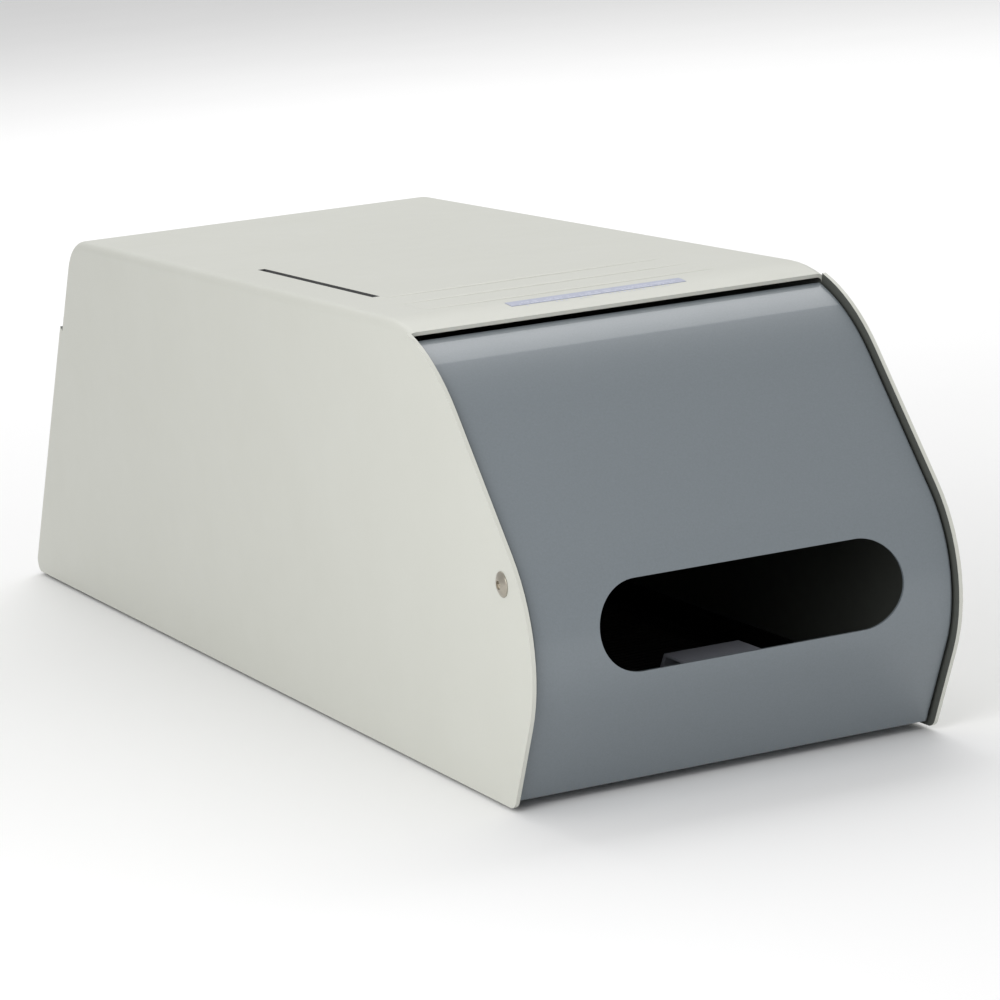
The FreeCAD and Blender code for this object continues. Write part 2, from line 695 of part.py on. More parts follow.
def make_pivot(name, side):
    crown = "(head_radius ^ 2 + head_dome ^ 2) / (2 * head_dome)"
    screw = turned(f"pivot_screw_{name}", side, "case_width / 2", [
        ("-screw_reach", "0"), ("head_edge + head_dome", "0"),
        arc_to(("head_edge", "head_radius"), crown, 1), ("0", "head_radius"),
        ("0", "screw_radius"), ("-screw_reach", "screw_radius")])
    socket = attach(screw, f"Socket_{name}", "YZ_Plane", "head_edge + head_dome")
    draw_loop(socket, hexagon("socket_radius"))
    cut(screw, socket, "socket_deep")

    bush_length = "flap_sheet + 2 * bush_reach"
    turned(f"flap_bush_{name}", side, "flap_half + bush_reach", [
        (f"-({bush_length})", "screw_radius + running_fit"), ("0", "screw_radius + running_fit"),
        ("0", "bush_radius"), (f"-({bush_length})", "bush_radius")])
    turned(f"pivot_washer_{name}", side, "washer_side", [
        ("-washer_sheet", "screw_radius"), ("0", "screw_radius"),
        ("0", "washer_radius"), ("-washer_sheet", "washer_radius")])

    nut = doc.addObject("PartDesign::Body", f"pivot_nut_{name}")
    nut.Label = f"pivot_nut_{name}"
    sketch = attach(nut, f"Nut_{name}", "YZ_Plane", "-nut_sheet")
    draw_loop(sketch, hexagon("nut_radius"))
    draw_circle(sketch, "0", "0", "screw_radius")
    pad(nut, sketch, "nut_sheet")
    place_on_pivot(nut, side, "washer_side - washer_sheet")

    stop = turned(f"closed_stop_{name}", side, "inner_half", [
        ("-stop_span", "0"), ("0", "0"), ("0", "stop_radius"), ("-stop_span", "stop_radius")])
    back, height = slope_top("flap_back + stop_gap + stop_radius")
    stop.setExpression("Placement.Base.y", words(f"{back} - stop_along * sin{SLOPE} + case_shift"))
    stop.setExpression("Placement.Base.z", words(f"{height} - stop_along * cos{SLOPE} + foot_standoff"))


def hexagon(radius):
    return [(f"{radius} * cos({60 * corner} * 1deg)", f"{radius} * sin({60 * corner} * 1deg)")
            for corner in range(6)]


# Feet and grouped screws.

def make_foot(name, x, y):
    body = doc.addObject("PartDesign::Body", name)
    body.Label = name
    sketch = attach(body, name + "Profile", "XZ_Plane")
    reach = "base_height + foot_standoff"
    draw_loop(sketch, [("foot_bore", "sole_step"), ("foot_radius", "sole_step"),
                       ("foot_radius", reach), ("foot_bore", reach)])
    feature = body.newObject("PartDesign::Revolution", name + "Turned")
    feature.Profile = sketch
    feature.ReferenceAxis = (sketch, ["V_Axis"])
    feature.Angle = 360
    sole = attach(body, name + "Sole", "XY_Plane")
    draw_circle(sole, "0", "0", "foot_radius - sole_step")
    draw_circle(sole, "0", "0", "foot_sink")
    pad(body, sole, "sole_step")
    body.setExpression("Placement.Base.x", words(x))
    body.setExpression("Placement.Base.y", words(f"{y} + case_shift"))


def screw_group(label, places, turn, head_radius, head_rise, shank_radius, shank_span):
    """Identical round-headed screws, as one node of separate solids."""
    pieces = []
    for number, (x, y, z) in enumerate(places):
        head = doc.addObject("Part::Cylinder", f"{label}_head_{number}")
        shank = doc.addObject("Part::Cylinder", f"{label}_shank_{number}")
        for item, radius, span, start in ((head, head_radius, head_rise, "0"),
                                          (shank, shank_radius, shank_span, f"-({shank_span})")):
            item.Placement.Rotation = FreeCAD.Rotation(FreeCAD.Vector(1, 0, 0), value(turn))
            item.setExpression("Radius", words(radius))
            item.setExpression("Height", words(span))
            item.setExpression("Placement.Rotation.Angle", words(f"({turn}) * 1deg"))
            item.setExpression("Placement.Base.x", words(x))
            item.setExpression("Placement.Base.y",
                               words(f"{y} + case_shift - ({start}) * sin(({turn}) * 1deg)"))
            item.setExpression("Placement.Base.z",
                               words(f"{z} + foot_standoff + ({start}) * cos(({turn}) * 1deg)"))
            pieces.append(item)
    group = doc.addObject("Part::MultiFuse", label)
    group.Label = label
    group.Shapes = pieces
    doc.recompute()
    return group


make_cover()
make_base()
make_rear_panel()
make_label()
make_mat()
make_tray()
make_magnet()
make_flap()
make_bracket()
for name, side in (("left", -1), ("right", 1)):
    make_pivot(name, side)
for (x, y), name in zip(foot_places(), ("front_left", "front_right", "rear_left", "rear_right")):
    make_foot(f"foot_{name}", x, y)

screw_group("foot_screws", [(x, y, "base_top") for x, y in foot_places()], "0",
            "foot_head", "foot_head_rise", "foot_screw", "base_sheet + base_height")
rear_y, rear_z = rear_slope("screw_line")
screw_group("rear_screws", [(f"{side} * rear_screw_pitch", rear_y, rear_z) for side in (-1, 0, 1)],
            "lean_angle - 90", "rear_head", "rear_head_rise", "rear_screw", "panel_back + rear_screw_tail")

doc.removeObject(working.Name)
doc.recompute()
os.makedirs("parts", exist_ok=True)
kinds = ("PartDesign::Body", "Part::MultiFuse")
parts = [item for item in doc.Objects if item.TypeId in kinds]
for item in doc.Objects:
    if "Invalid" in item.State or "Error" in item.State:
        raise RuntimeError(f"{item.Name} failed: {item.State}")
for item in parts:
    if item.Shape.isNull() or not item.Shape.isValid():
        raise RuntimeError(f"{item.Label} has no valid shape")
for item in parts:
    item.Shape.exportStep(os.path.join("parts", item.Label + ".step"))
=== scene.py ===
"""Looks of a bench-top book drop box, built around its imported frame."""

import json
import math

import bmesh
import bpy
from mathutils import Matrix, Vector

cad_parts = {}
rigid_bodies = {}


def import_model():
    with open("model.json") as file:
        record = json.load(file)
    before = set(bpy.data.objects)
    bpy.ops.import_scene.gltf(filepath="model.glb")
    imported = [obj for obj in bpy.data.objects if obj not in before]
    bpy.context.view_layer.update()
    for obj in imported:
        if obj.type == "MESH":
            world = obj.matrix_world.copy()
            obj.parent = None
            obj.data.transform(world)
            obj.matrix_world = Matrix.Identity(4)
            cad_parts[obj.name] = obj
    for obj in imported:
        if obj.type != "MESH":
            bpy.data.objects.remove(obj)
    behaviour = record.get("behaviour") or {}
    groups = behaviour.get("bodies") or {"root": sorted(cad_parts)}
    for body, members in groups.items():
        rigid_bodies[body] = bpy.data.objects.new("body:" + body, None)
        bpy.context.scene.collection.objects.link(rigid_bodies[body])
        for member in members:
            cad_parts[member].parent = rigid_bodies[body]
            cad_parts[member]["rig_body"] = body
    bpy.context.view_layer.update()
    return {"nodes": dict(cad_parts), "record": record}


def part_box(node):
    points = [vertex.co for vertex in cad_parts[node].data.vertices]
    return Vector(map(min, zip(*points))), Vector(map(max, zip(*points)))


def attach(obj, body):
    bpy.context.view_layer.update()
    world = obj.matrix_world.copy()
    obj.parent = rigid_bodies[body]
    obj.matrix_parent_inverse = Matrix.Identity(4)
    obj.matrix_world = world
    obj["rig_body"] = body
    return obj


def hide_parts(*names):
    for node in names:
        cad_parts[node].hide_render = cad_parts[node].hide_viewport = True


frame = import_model()

bl_info = {
    "name": "Book drop box",
    "version": (1, 0, 0),
    "blender": (4, 5, 0),
    "location": "3D View > Sidebar > Drop box",
    "description": "Builds the visible pieces of a folded steel book drop box",
    "category": "Object",
}

MM = 0.001
ARC_STEP = math.radians(1.5)
SLOT_OF = {row["node"]: row["material_slot"] for row in frame["record"]["subparts"]}


# Colours and shader nodes.

def colour(code):
    """An sRGB hex colour as linear RGBA."""
    shares = [int(code[start:start + 2], 16) / 255 for start in (0, 2, 4)]
    linear = [s / 12.92 if s <= 0.04045 else ((s + 0.055) / 1.055) ** 2.4 for s in shares]
    return (*linear, 1.0)


def add(tree, kind, settings=None, sockets=None):
    """Add a node with its settings; a socket takes a value or another node's output."""
    node = tree.nodes.new(kind)
    for name, setting in (settings or {}).items():
        setattr(node, name, setting)
    for name, source in (sockets or {}).items():
        for item in source if isinstance(source, list) else [source]:
            if isinstance(item, bpy.types.NodeSocket):
                tree.links.new(item, node.inputs[name])
            else:
                node.inputs[name].default_value = item
    return node


def surface(name, sockets):
    """A material with one Principled shader, its tree and the shader."""
    made = bpy.data.materials.new(name)
    made.use_nodes = True
    tree = made.node_tree
    tree.nodes.clear()
    shader = add(tree, "ShaderNodeBsdfPrincipled", None, sockets)
    add(tree, "ShaderNodeOutputMaterial", None, {"Surface": shader.outputs["BSDF"]})
    return made, tree, shader


def noise(tree, grain_mm, detail=2.0, stretch=(1.0, 1.0, 1.0)):
    """Noise on Object coordinates whose features are about a grain across."""
    place = add(tree, "ShaderNodeTexCoord")
    turned = add(tree, "ShaderNodeMapping", None, {
        "Vector": place.outputs["Object"], "Scale": stretch})
    return add(tree, "ShaderNodeTexNoise", None, {
        "Vector": turned.outputs["Vector"], "Scale": 1 / (grain_mm * MM), "Detail": detail})


def mottle(tree, shader, first, second, grain_mm, detail=3.0):
    """Blend the base colour between two tones in soft patches."""
    patches = noise(tree, grain_mm, detail)
    blend = add(tree, "ShaderNodeMix", {"data_type": "RGBA"}, {
        0: patches.outputs["Fac"], 6: first, 7: second})
    tree.links.new(blend.outputs[2], shader.inputs["Base Color"])


def relief(tree, shader, height, depth_mm):
    """Bump from a height between 0 and 1."""
    bump = add(tree, "ShaderNodeBump", None, {"Height": height, "Distance": depth_mm * MM})
    tree.links.new(bump.outputs["Normal"], shader.inputs["Normal"])


def rough_patches(tree, shader, low, high, grain_mm):
    """Vary the roughness between two values in soft patches."""
    patches = noise(tree, grain_mm)
    spread = add(tree, "ShaderNodeMapRange", None, {
        "Value": patches.outputs["Fac"], "To Min": low, "To Max": high})
    tree.links.new(spread.outputs["Result"], shader.inputs["Roughness"])


# Materials.

def powder_coat():
    """Polyester powder baked on steel: satin, with a fine orange peel."""
    made, tree, shader = surface("powder_coat_cream", {"IOR": 1.5})
    tones = bpy.context.scene.drop_box_finish
    mottle(tree, shader, tones.cover_light, tones.cover_shade, 60)
    rough_patches(tree, shader, 0.42, 0.52, 14)
    peel = noise(tree, 1.6, 1.0)
    relief(tree, shader, peel.outputs["Fac"], 0.035)
    return made


def inner_shade_paint():
    """Dull dark paint inside the folded cover: painted shade, standing in for the shade on its cream
    coat there.
    """
    made, tree, shader = surface("inner_painted_shade", {"IOR": 1.5})
    # Painted shade: these dark greys stand in for the shade inside the cover.
    mottle(tree, shader, colour("4E504C"), colour("575A55"), 40)
    rough_patches(tree, shader, 0.5, 0.65, 9)
    return made


def lacquer():
    """Silver-grey stoved lacquer: a little fine flake under a thin clear coat."""
    tones = bpy.context.scene.drop_box_finish
    made, tree, shader = surface("silver_grey_lacquer", {
        "Metallic": 0.1, "IOR": 1.5, "Coat Weight": 0.6, "Coat Roughness": 0.03})
    mottle(tree, shader, tones.flap_light, tones.flap_shade, 0.9, 1.0)
    rough_patches(tree, shader, 0.36, 0.42, 22)
    return made


def black_paint_and_slot_shade():
    """Dipped black paint on the inner sheet parts, and painted shade on the top slot's cut walls:
    semi-matt, a little uneven.
    """
    made, tree, shader = surface("dipped_black_paint", {"IOR": 1.5})
    mottle(tree, shader, colour("141515"), colour("1D1E1E"), 25)
    rough_patches(tree, shader, 0.45, 0.6, 6)
    return made


def bracket_paint():
    """Electro-dipped grey paint: thin and satin over bent sheet."""
    made, tree, shader = surface("electro_dip_grey", {"IOR": 1.5})
    mottle(tree, shader, colour("7A7C84"), colour("83858D"), 12)
    rough_patches(tree, shader, 0.38, 0.5, 5)
    grit = noise(tree, 0.8)
    relief(tree, shader, grit.outputs["Fac"], 0.02)
    return made


def zinc_plate():
    """Bright zinc plate on steel: warm silver, with faint turning marks."""
    made, tree, shader = surface("zinc_plated_steel", {"Metallic": 1.0})
    mottle(tree, shader, colour("B9B3A6"), colour("A29C90"), 2.5)
    rough_patches(tree, shader, 0.26, 0.4, 1.2)
    return made


def nylon():
    """Moulded black nylon: smooth with a soft sheen."""
    made, tree, shader = surface("moulded_nylon", {"IOR": 1.53})
    mottle(tree, shader, colour("1A1A1B"), colour("212122"), 4)
    rough_patches(tree, shader, 0.35, 0.45, 3)
    return made


def rubber():
    """Moulded black rubber: matt, dusty, with a fine grain."""
    made, tree, shader = surface("moulded_rubber", {"IOR": 1.52})
    mottle(tree, shader, colour("1B1B1B"), colour("262625"), 5)
    rough_patches(tree, shader, 0.7, 0.85, 3)
    grit = noise(tree, 0.7)
    relief(tree, shader, grit.outputs["Fac"], 0.05)
    return made


def ferrite():
    """Pressed ferrite: dark grey ceramic with fine pores."""
    made, tree, shader = surface("pressed_ferrite", {"IOR": 1.9})
    mottle(tree, shader, colour("242527"), colour("303133"), 1.5)
    rough_patches(tree, shader, 0.5, 0.7, 1.5)
    return made


def label_film():
    """Printed vinyl film: smooth lavender with a slight fade."""
    made, tree, shader = surface("vinyl_film_lavender", {"IOR": 1.46})
    mottle(tree, shader, colour("A2A8BE"), colour("ADB2C6"), 9)
    rough_patches(tree, shader, 0.3, 0.4, 6)
    return made


def label_ink():
    """Screen-printed pale ink: flat and slightly patchy."""
    made, tree, shader = surface("pale_screen_ink", {"IOR": 1.5})
    mottle(tree, shader, colour("D3D7E3"), colour("C4C9DA"), 2)
    rough_patches(tree, shader, 0.45, 0.6, 2)
    return made


def backdrop_paint():
    """Matt white paint of a studio floor."""
    made, tree, shader = surface("studio_white_matt", {"IOR": 1.45, "Specular IOR Level": 0.2})
    mottle(tree, shader, colour("F7F7F7"), colour("F4F4F4"), 300)
    rough_patches(tree, shader, 0.85, 0.95, 120)
    return made


# The "inner" material is painted shade inside the cover; "inner_paint" also paints shade on the top
# slot's walls.
MAKERS = {"cover_paint": powder_coat, "inner": inner_shade_paint, "flap_paint": lacquer,
          "inner_paint": black_paint_and_slot_shade, "bracket_paint": bracket_paint, "zinc": zinc_plate,
          "nylon": nylon, "rubber": rubber, "magnet": ferrite, "label": label_film,
          "ink": label_ink, "stage": backdrop_paint}
MADE = {}


def finish(slot):
    """The material of a slot, made once."""
    if slot not in MADE:
        MADE[slot] = MAKERS[slot]()
    return MADE[slot]


# Meshes.

def rounded(corners):
    """A closed outline whose corners, each a point and a radius, are rounded by arcs."""
    points = []
    for index, (corner, radius) in enumerate(corners):
        before, after = corners[index - 1][0], corners[(index + 1) % len(corners)][0]
        here = Vector(corner)
        back, ahead = (Vector(before) - here).normalized(), (Vector(after) - here).normalized()
        half = back.angle(ahead) / 2
        centre = here + (back + ahead).normalized() * radius / math.sin(half)
        spoke = here + back * radius / math.tan(half) - centre
        sweep = math.copysign(math.pi - 2 * half, ahead.cross(back))
        count = max(3, round(abs(sweep) / math.radians(18)))
        for step in range(count + 1):
            points.append(centre + Matrix.Rotation(sweep * step / count, 2) @ spoke)
    return points


def chain_mesh(name, points, closed=False):
    """A mesh of edges through points."""
    mesh = bpy.data.meshes.new(name)
    edges = [(index, index + 1) for index in range(len(points) - 1)]
    if closed:
        edges.append((len(points) - 1, 0))
    mesh.from_pydata([tuple(point) for point in points], edges, [])
    return mesh


def show(name, mesh):
    """An object at the origin for a mesh."""
    piece = bpy.data.objects.new(name, mesh)
    bpy.context.scene.collection.objects.link(piece)
    return piece


def flatten(piece):
    """Replace a piece's mesh with what its modifiers make, and take the modifiers off."""
    bpy.context.view_layer.update()
    graph = bpy.context.evaluated_depsgraph_get()
    mesh = bpy.data.meshes.new_from_object(piece.evaluated_get(graph))
    piece.modifiers.clear()
    piece.data = mesh


def smooth(piece, sharp=35):
    """Smooth shading with sharp edges past an angle, and flats kept flat."""
    piece.data.polygons.foreach_set("use_smooth", [True] * len(piece.data.polygons))
    piece.data.set_sharp_from_angle(angle=math.radians(sharp))
    weighted = piece.modifiers.new("Flats", "WEIGHTED_NORMAL")
    weighted.keep_sharp = True
    flatten(piece)


def bevel(piece, width, segments=3, finished=-1):
    """Round the edges that carry a bevel weight; their faces can take one material."""
    modifier = piece.modifiers.new("Edges", "BEVEL")
    modifier.limit_method = "WEIGHT"
    modifier.width = width
    modifier.segments = segments
    modifier.material = finished
    flatten(piece)


def weigh_edges(mesh, angle=50):
    """Give a bevel weight to every crease sharper than an angle."""
    work = bmesh.new()
    work.from_mesh(mesh)
    weights = work.edges.layers.float.new("bevel_weight_edge")
    for edge in work.edges:
        if len(edge.link_faces) == 2 and edge.calc_face_angle(0) > math.radians(angle):
            edge[weights] = 1.0
    work.to_mesh(mesh)
    work.free()


def merged_copy(node):
    """A copy of a CAD node's mesh with its triangles joined into faces."""
    work = bmesh.new()
    work.from_mesh(frame["nodes"][node].data)
    bmesh.ops.remove_doubles(work, verts=work.verts, dist=0.002 * MM)
    bmesh.ops.dissolve_limit(work, angle_limit=math.radians(0.3), verts=work.verts, edges=work.edges)
    bmesh.ops.recalc_face_normals(work, faces=work.faces)
    mesh = bpy.data.meshes.new(node + "_made")
    work.to_mesh(mesh)
    work.free()
    return mesh


def stand_for(piece, node):
    """Ride with a CAD node's body and take its place."""
    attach(piece, frame["nodes"][node]["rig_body"])
    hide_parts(node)


def dressed(node, slots):
    """A copy of a CAD node's shape with its materials and its creases weighed."""
    piece = show(node + "_made", merged_copy(node))
    for slot in slots:
        piece.data.materials.append(finish(slot))
    weigh_edges(piece.data)
    return piece


# Geometry Nodes.

def open_tree(name, inputs):
    """A tree with a geometry input and output and named inputs; also its input sockets."""
    tree = bpy.data.node_groups.new(name, "GeometryNodeTree")
    tree.interface.new_socket("Geometry", in_out="INPUT", socket_type="NodeSocketGeometry")
    for label, kind in inputs.items():
        tree.interface.new_socket(label, in_out="INPUT", socket_type="NodeSocket" + kind)
    tree.interface.new_socket("Geometry", in_out="OUTPUT", socket_type="NodeSocketGeometry")
    return tree, tree.nodes.new("NodeGroupInput").outputs


def close_tree(tree, geometry, made):
    """End a tree in real geometry with its material."""
    whole = add(tree, "GeometryNodeRealizeInstances", None, {"Geometry": geometry})
    dressed = add(tree, "GeometryNodeSetMaterial", None, {
        "Geometry": whole.outputs["Geometry"], "Material": made})
    add(tree, "NodeGroupOutput", None, {"Geometry": dressed.outputs["Geometry"]})


def grow(name, mesh, tree, values):
    """Run a tree on a base mesh with its named inputs set, and keep the result as a mesh."""
    piece = show(name, mesh)
    modifier = piece.modifiers.new(name, "NODES")
    modifier.node_group = tree
    for item in tree.interface.items_tree:
        if item.in_out == "INPUT" and item.name in values:
            modifier[item.identifier] = values[item.name]
    flatten(piece)
    return piece


def channel_tree(made):
    """A folded channel swept down a rail, with a round-ended mouth, two bores and a lower flange."""
    tree, given = open_tree("Folded channel", {
        "Section": "Object", "Mouth width": "Float", "Mouth height": "Float",
        "Mouth start": "Vector", "Mouth end": "Vector", "Bore radius": "Float",
        "Bore length": "Float", "Pivot": "Vector", "Flange size": "Vector",
        "Flange centre": "Vector"})
    across = (1.0, 0.0, 0.0)
    rail = add(tree, "GeometryNodeMeshToCurve", None, {"Mesh": given["Geometry"]})
    level = add(tree, "GeometryNodeSetCurveNormal", {"mode": "FREE"}, {
        "Curve": rail.outputs["Curve"], "Normal": across})
    holder = add(tree, "GeometryNodeObjectInfo", None, {"Object": given["Section"]})
    section = add(tree, "GeometryNodeMeshToCurve", None, {"Mesh": holder.outputs["Geometry"]})
    channel = add(tree, "GeometryNodeCurveToMesh", None, {
        "Curve": level.outputs["Curve"], "Profile Curve": section.outputs["Curve"],
        "Fill Caps": True})

    half = add(tree, "ShaderNodeMath", {"operation": "MULTIPLY"}, {
        0: given["Mouth height"], 1: 0.499})
    frame_curve = add(tree, "GeometryNodeCurvePrimitiveQuadrilateral", None, {
        "Width": given["Mouth width"], "Height": given["Mouth height"]})
    ends = add(tree, "GeometryNodeFilletCurve", {"mode": "POLY"}, {
        "Curve": frame_curve.outputs["Curve"], "Count": 24, "Radius": half.outputs["Value"]})
    line = add(tree, "GeometryNodeCurvePrimitiveLine", None, {
        "Start": given["Mouth start"], "End": given["Mouth end"]})
    way = add(tree, "GeometryNodeSetCurveNormal", {"mode": "FREE"}, {
        "Curve": line.outputs["Curve"], "Normal": across})
    mouth = add(tree, "GeometryNodeCurveToMesh", None, {
        "Curve": way.outputs["Curve"], "Profile Curve": ends.outputs["Curve"], "Fill Caps": True})

    rod = add(tree, "GeometryNodeMeshCylinder", None, {
        "Vertices": 40, "Radius": given["Bore radius"], "Depth": given["Bore length"]})
    bore = add(tree, "GeometryNodeTransform", None, {
        "Geometry": rod.outputs["Mesh"], "Translation": given["Pivot"],
        "Rotation": (0.0, math.pi / 2, 0.0)})
    pierced = add(tree, "GeometryNodeMeshBoolean", {"operation": "DIFFERENCE", "solver": "EXACT"}, {
        "Mesh 1": channel.outputs["Mesh"],
        "Mesh 2": [mouth.outputs["Mesh"], bore.outputs["Geometry"]]})

    plate = add(tree, "GeometryNodeMeshCube", None, {"Size": given["Flange size"]})
    flange = add(tree, "GeometryNodeTransform", None, {
        "Geometry": plate.outputs["Mesh"], "Translation": given["Flange centre"]})
    both = add(tree, "GeometryNodeJoinGeometry", None, {
        "Geometry": [pierced.outputs["Mesh"], flange.outputs["Geometry"]]})
    close_tree(tree, both.outputs["Geometry"], made)
    return tree


def placed_tree(name, made):
    """One piece set on every point of the base mesh, turned the same way."""
    tree, given = open_tree(name, {"Piece": "Object", "Turn": "Vector"})
    points = add(tree, "GeometryNodeMeshToPoints", None, {"Mesh": given["Geometry"]})
    holder = add(tree, "GeometryNodeObjectInfo", None, {"Object": given["Piece"]})
    placed = add(tree, "GeometryNodeInstanceOnPoints", None, {
        "Points": points.outputs["Points"], "Instance": holder.outputs["Geometry"],
        "Rotation": given["Turn"]})
    close_tree(tree, placed.outputs["Instances"], made)
    return tree


def ridges_tree(made):
    """Long shallow ridges, thin at their ends, set in a row."""
    tree, given = open_tree("Pressed ridges", {
        "Ridge count": "Int", "First ridge": "Vector", "Ridge pitch": "Vector",
        "Ridge half size": "Vector"})
    row = add(tree, "GeometryNodeMeshLine", {"mode": "OFFSET"}, {
        "Count": given["Ridge count"], "Start Location": given["First ridge"],
        "Offset": given["Ridge pitch"]})
    pebble = add(tree, "GeometryNodeMeshUVSphere", None, {
        "Segments": 96, "Rings": 48, "Radius": 1.0})
    placed = add(tree, "GeometryNodeInstanceOnPoints", None, {
        "Points": row.outputs["Mesh"], "Instance": pebble.outputs["Mesh"],
        "Scale": given["Ridge half size"]})
    close_tree(tree, placed.outputs["Instances"], made)
    return tree


def ribbed_tree(made):
    """Half-round ribs across a mat, at a pitch, joined to its slab."""
    tree, given = open_tree("Ribbed mat", {
        "Rib count": "Int", "First rib": "Vector", "Rib pitch": "Vector",
        "Rib radius": "Float", "Rib length": "Float"})
    row = add(tree, "GeometryNodeMeshLine", {"mode": "OFFSET"}, {
        "Count": given["Rib count"], "Start Location": given["First rib"],
        "Offset": given["Rib pitch"]})
    rod = add(tree, "GeometryNodeMeshCylinder", None, {
        "Vertices": 12, "Radius": given["Rib radius"], "Depth": given["Rib length"]})
    laid = add(tree, "GeometryNodeInstanceOnPoints", None, {
        "Points": row.outputs["Mesh"], "Instance": rod.outputs["Mesh"],
        "Rotation": (0.0, math.pi / 2, 0.0)})
    both = add(tree, "GeometryNodeJoinGeometry", None, {
        "Geometry": [laid.outputs["Instances"], given["Geometry"]]})
    close_tree(tree, both.outputs["Geometry"], made)
    return tree


def dashes_tree(made):
    """Printed bars of uneven length on every point of the base mesh."""
    tree, given = open_tree("Printed bars", {
        "Turn": "Vector", "Shortest": "Vector", "Longest": "Vector", "Seed": "Int",
        "Share": "Float"})
    points = add(tree, "GeometryNodeMeshToPoints", None, {"Mesh": given["Geometry"]})
    plate = add(tree, "GeometryNodeMeshCube", None, {"Size": (1.0, 1.0, 1.0)})
    span = add(tree, "FunctionNodeRandomValue", {"data_type": "FLOAT_VECTOR"}, {
        "Min": given["Shortest"], "Max": given["Longest"], "Seed": given["Seed"]})
    chance = add(tree, "FunctionNodeRandomValue", {"data_type": "BOOLEAN"}, {
        "Probability": given["Share"], "Seed": given["Seed"]})
    bars = add(tree, "GeometryNodeInstanceOnPoints", None, {
        "Points": points.outputs["Points"], "Selection": chance.outputs[3],
        "Instance": plate.outputs["Mesh"], "Rotation": given["Turn"], "Scale": span.outputs[0]})
    close_tree(tree, bars.outputs["Instances"], made)
    return tree


# Sizes and colours that can be changed.

def length(label, note, default):
    return bpy.props.FloatProperty(name=label, description=note, default=default, unit="LENGTH",
                                   precision=5)


def angle(label, note, degrees):
    return bpy.props.FloatProperty(name=label, description=note, default=math.radians(degrees),
                                   subtype="ANGLE", unit="ROTATION")


def tone(label, note, code):
    return bpy.props.FloatVectorProperty(name=label, description=note, default=colour(code),
                                         size=4, subtype="COLOR", min=0, max=1)


class DropBoxSizes(bpy.types.PropertyGroup):
    cover_edge: length("Cover edge", "Rounding of the cover's cut edges", 0.8 * MM)
    small_edge: length("Small edge", "Rounding of the fittings' edges", 0.3 * MM)
    slot_gap: length("Slot gap", "Width of the top slot", 4 * MM)
    tray_margin: length("Tray margin", "Tray beyond each end of the slot", 14 * MM)
    ridge_count: bpy.props.IntProperty(name="Ridges", description="Ridges pressed in the top",
                                       default=3, min=1, max=12)
    ridge_pitch: length("Ridge pitch", "Ridge to ridge", 30 * MM)
    ridge_breadth: length("Ridge breadth", "Breadth of a ridge", 5 * MM)
    ridge_rise: length("Ridge rise", "Height of a ridge", 0.7 * MM)
    nose_radius: length("Nose radius", "Radius of the flap's nose", 66 * MM)
    top_radius: length("Top radius", "Radius of the flap's upper curve", 99 * MM)
    nose_height: length("Nose height", "Centre of the flap's nose above the floor", 80 * MM)
    slope: angle("Slope", "The flap's upper straight from the vertical", 40)
    lower_slope: angle("Lower slope", "The flap's lower straight from the vertical", 30)
    top_angle: angle("Top angle", "Where the flap ends on its upper curve", 18)
    flap_recess: length("Flap recess", "Flap's face below the cover's curve", 4 * MM)
    flap_sheet: length("Flap sheet", "Thickness of the flap", 1.5 * MM)
    flap_depth: length("Flap depth", "Depth of the flap's side flanges", 24 * MM)
    flap_fold: length("Flap fold", "Outside radius of the flap's folds", 1.4 * MM)
    flap_rim: length("Flap rim", "Rounding of the flap's cut edges", 0.5 * MM)
    mouth_centre: length("Mouth centre", "Mouth to the right of the middle", 4 * MM)
    mouth_width: length("Mouth width", "Mouth across", 159 * MM)
    mouth_height: length("Mouth height", "Mouth from edge to edge", 43.5 * MM)
    mouth_low: length("Mouth low", "Lower edge of the mouth above the floor", 63.2 * MM)
    rear_lean: angle("Rear lean", "The rear from the vertical", 32.4)
    mat_slab: length("Mat slab", "Mat without its ribs", 2.4 * MM)
    mat_pitch: length("Mat pitch", "Rib to rib on the mat", 6 * MM)


class DropBoxFinish(bpy.types.PropertyGroup):
    cover_light: tone("Cover light", "Cover paint, lighter patches", "CDCEC6")
    cover_shade: tone("Cover shade", "Cover paint, darker patches", "C9CAC1")
    flap_light: tone("Flap light", "Flap lacquer, brighter flakes", "788086")
    flap_shade: tone("Flap shade", "Flap lacquer, duller flakes", "6F777C")


class DropBoxStage(bpy.types.PropertyGroup):
    azimuth: angle("Azimuth", "Camera round the box from its front", 23.06)
    elevation: angle("Elevation", "Camera above the floor's plane", 10.62)
    roll: angle("Roll", "Camera turned about its own axis", -4.87)
    distance: length("Distance", "Camera to its aim", 2192.8 * MM)
    aim: bpy.props.FloatVectorProperty(
        name="Aim", description="Point in the middle of the view",
        default=(33.55 * MM, -20.47 * MM, 80.64 * MM), subtype="TRANSLATION", unit="LENGTH")
    lens: bpy.props.FloatProperty(name="Lens", description="Focal length in millimetres", default=144.0)


# Pieces.

